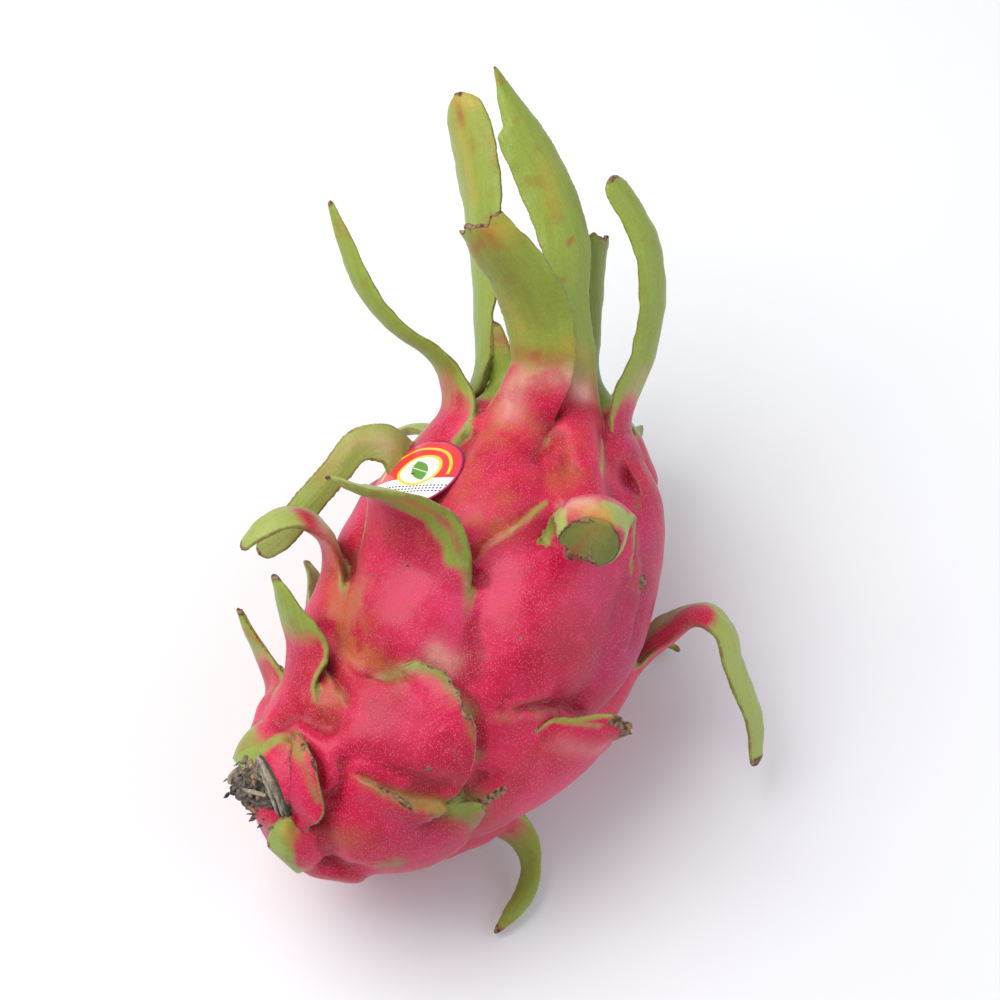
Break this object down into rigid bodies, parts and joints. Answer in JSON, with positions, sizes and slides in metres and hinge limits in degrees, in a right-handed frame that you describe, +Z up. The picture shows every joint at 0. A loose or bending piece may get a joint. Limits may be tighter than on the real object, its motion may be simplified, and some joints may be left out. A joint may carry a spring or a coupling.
{
  "type": "dragon fruit",
  "caption": "Whole ripe dragon fruit lying on its side, with long curling green-tipped scales, a dry stem stub, a dried flower in the crown and a round label.",
  "frame": {"origin": "centre of the bounding box on the surface the fruit lies on", "axes": "+X from the stem end to the crown, along the longest extent; +Z up; the fruit lies on its side"},
  "size_m": [0.1954, 0.1594, 0.1298],
  "materials": {
    "peel": "waxy pink peel, green towards the scale tips",
    "dry_stem": "dry grey-brown fibrous wood",
    "dry_flower": "dry brown fibrous remnant",
    "label": "satin printed label"
  },
  "bodies": {
    "root": {"fruit": "peel", "stem_stub": "dry_stem", "flower_scar": "dry_flower", "sticker": "label"}
  },
  "joints": []
}
